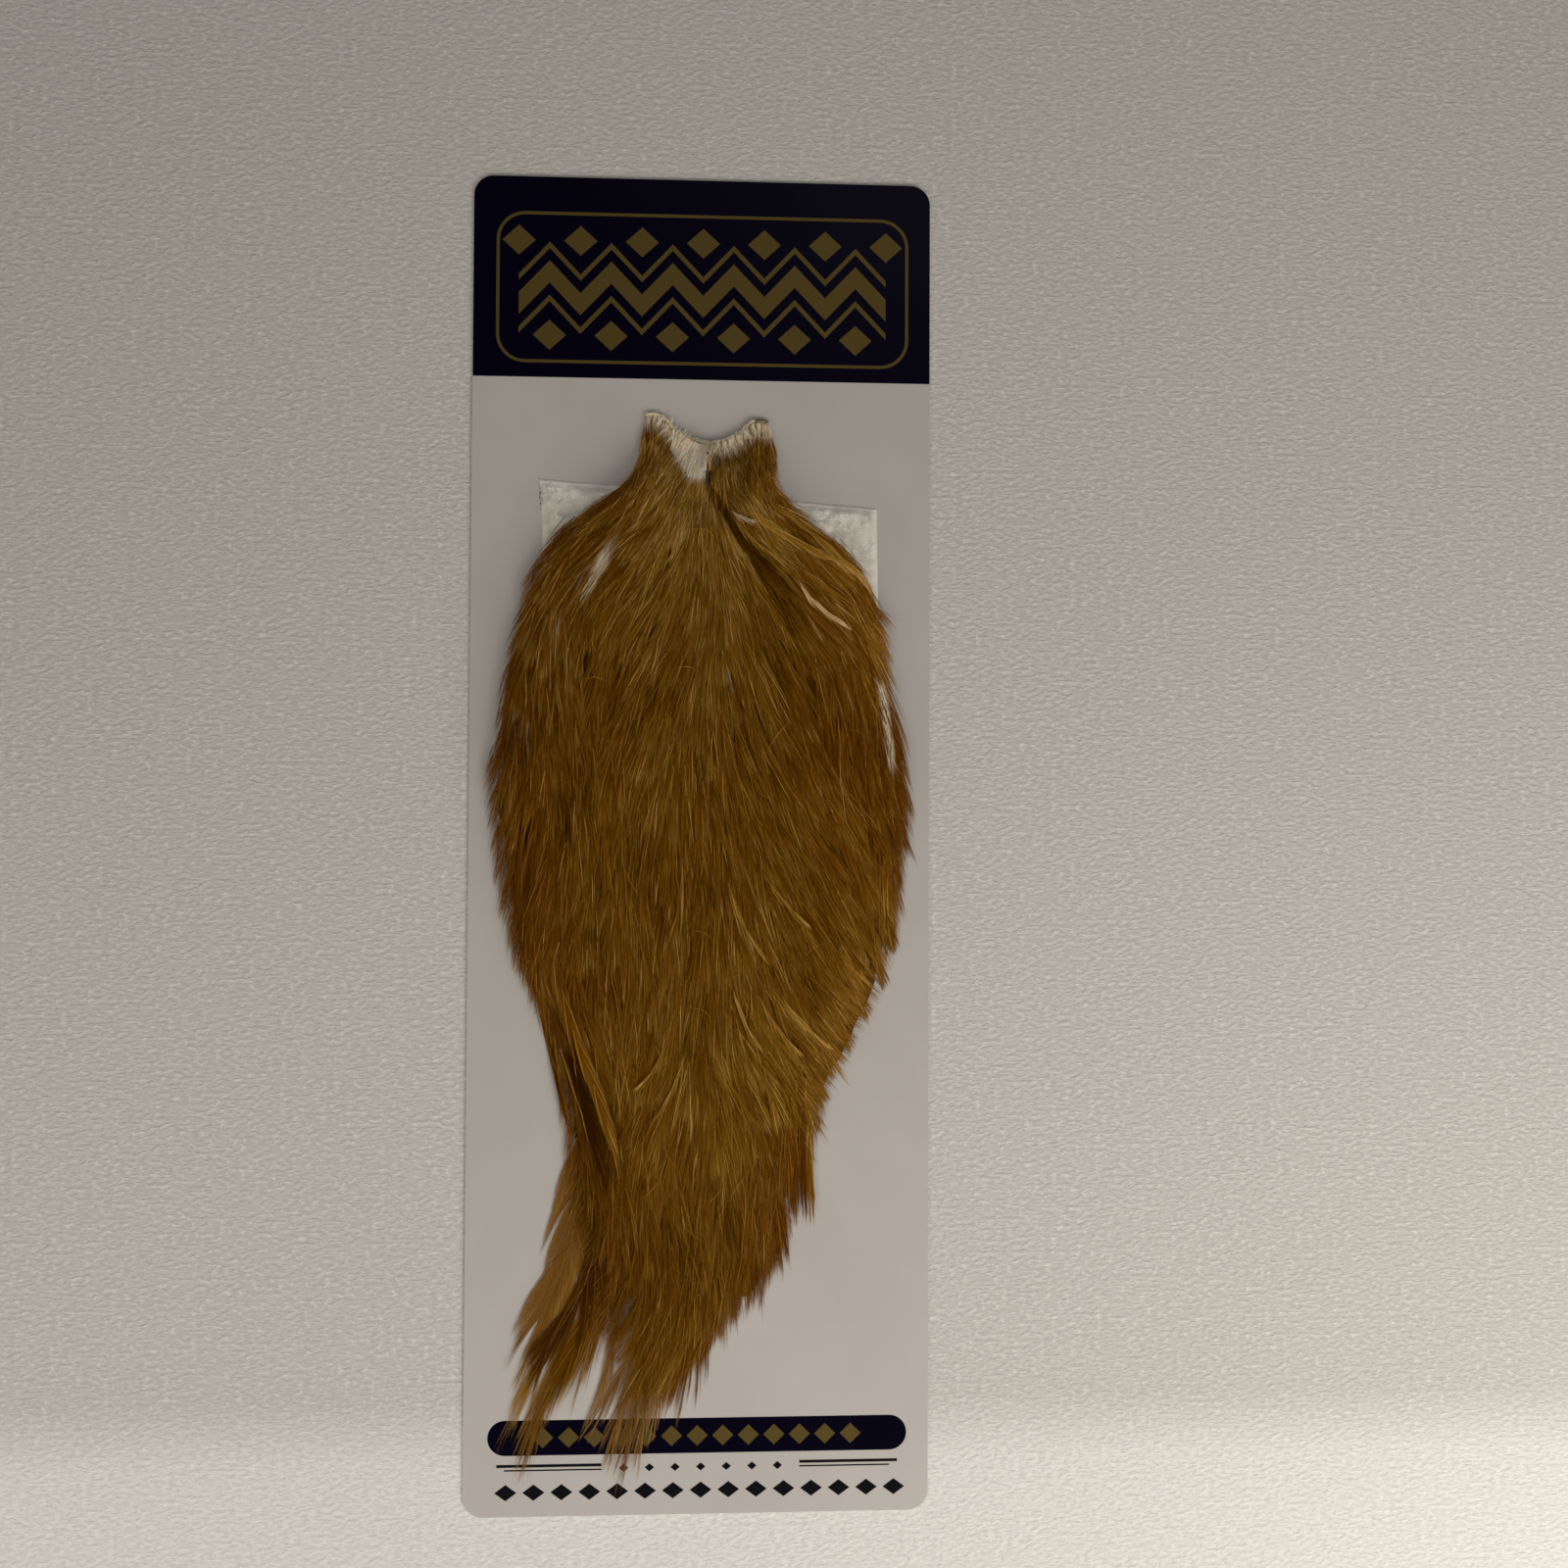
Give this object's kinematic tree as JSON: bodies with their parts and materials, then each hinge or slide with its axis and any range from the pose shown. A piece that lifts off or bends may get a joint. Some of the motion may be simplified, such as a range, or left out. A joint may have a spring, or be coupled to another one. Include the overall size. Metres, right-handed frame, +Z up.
{
  "type": "rooster cape on a card",
  "caption": "Dried rooster neck skin with golden-brown hackle plumage, stapled over a film sleeve on a long printed board with rounded corners, lying flat on its back.",
  "frame": {"origin": "middle of the card's underside, on the surface that it lies on", "axes": "+X across the card to the right of the plumage as it is seen, +Y along the card towards the neck end, +Z up out of the card's printed face"},
  "size_m": [0.127, 0.368, 0.0145],
  "materials": {
    "card": "satin",
    "sleeve": "gloss",
    "plumage": "satin",
    "skin": "matte",
    "staple": "satin"
  },
  "bodies": {
    "root": {"card": "card", "sleeve": "sleeve", "cape": "plumage", "neck_staple": "staple", "hackle_outer": "plumage", "hackle_long": "plumage", "hackle_inner": "plumage", "hackle_rust": "plumage", "hackle_pale": "plumage", "hackle_twisted": "plumage"}
  },
  "joints": []
}
